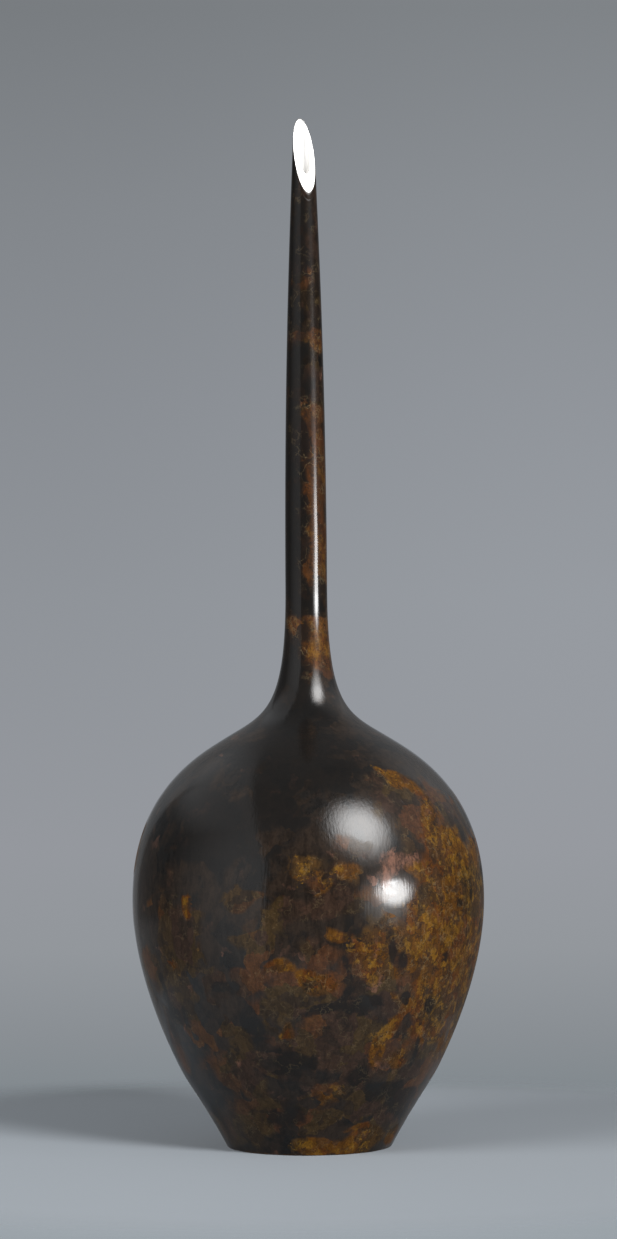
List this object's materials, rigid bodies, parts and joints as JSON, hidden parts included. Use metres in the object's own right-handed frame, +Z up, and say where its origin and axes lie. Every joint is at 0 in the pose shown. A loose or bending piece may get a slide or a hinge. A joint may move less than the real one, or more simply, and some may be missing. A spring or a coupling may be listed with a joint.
{
  "type": "bronze vase",
  "caption": "Tall bronze bud vase: hollow round-bellied body on a plain foot, long slender neck and a slanting silver-lined mouth for one stem.",
  "frame": {"origin": "centre of the foot's resting plane, on the axis of the vase", "axes": "+Z up along the axis from the foot to the mouth; -Y is the front, and the slanting mouth opens towards the front and 22.5 degrees towards +X"},
  "size_m": [0.205, 0.205, 0.6],
  "materials": {
    "patinated_bronze": "polished bronze under a mottled dark brown and golden patina, waxed",
    "bare_bronze": "turned, unpatinated bronze",
    "silver": "polished silver",
    "solder": "soft solder, wiped smooth"
  },
  "bodies": {
    "root": {"lower_body": "patinated_bronze", "upper_body": "patinated_bronze", "neck_lower": "patinated_bronze", "neck_upper": "patinated_bronze", "root_sleeve": "bare_bronze", "neck_sleeve": "bare_bronze", "root_pin_1": "patinated_bronze", "root_pin_2": "patinated_bronze", "root_pin_3": "patinated_bronze", "root_pin_4": "patinated_bronze", "neck_pin_1": "patinated_bronze", "neck_pin_2": "patinated_bronze", "neck_pin_3": "patinated_bronze", "neck_pin_4": "patinated_bronze", "core_plug_1": "patinated_bronze", "core_plug_2": "patinated_bronze", "core_plug_3": "patinated_bronze", "core_plug_4": "patinated_bronze", "core_plug_5": "patinated_bronze", "core_plug_6": "patinated_bronze", "mouth_liner": "silver", "base_plate": "bare_bronze", "base_solder": "solder"}
  },
  "joints": []
}
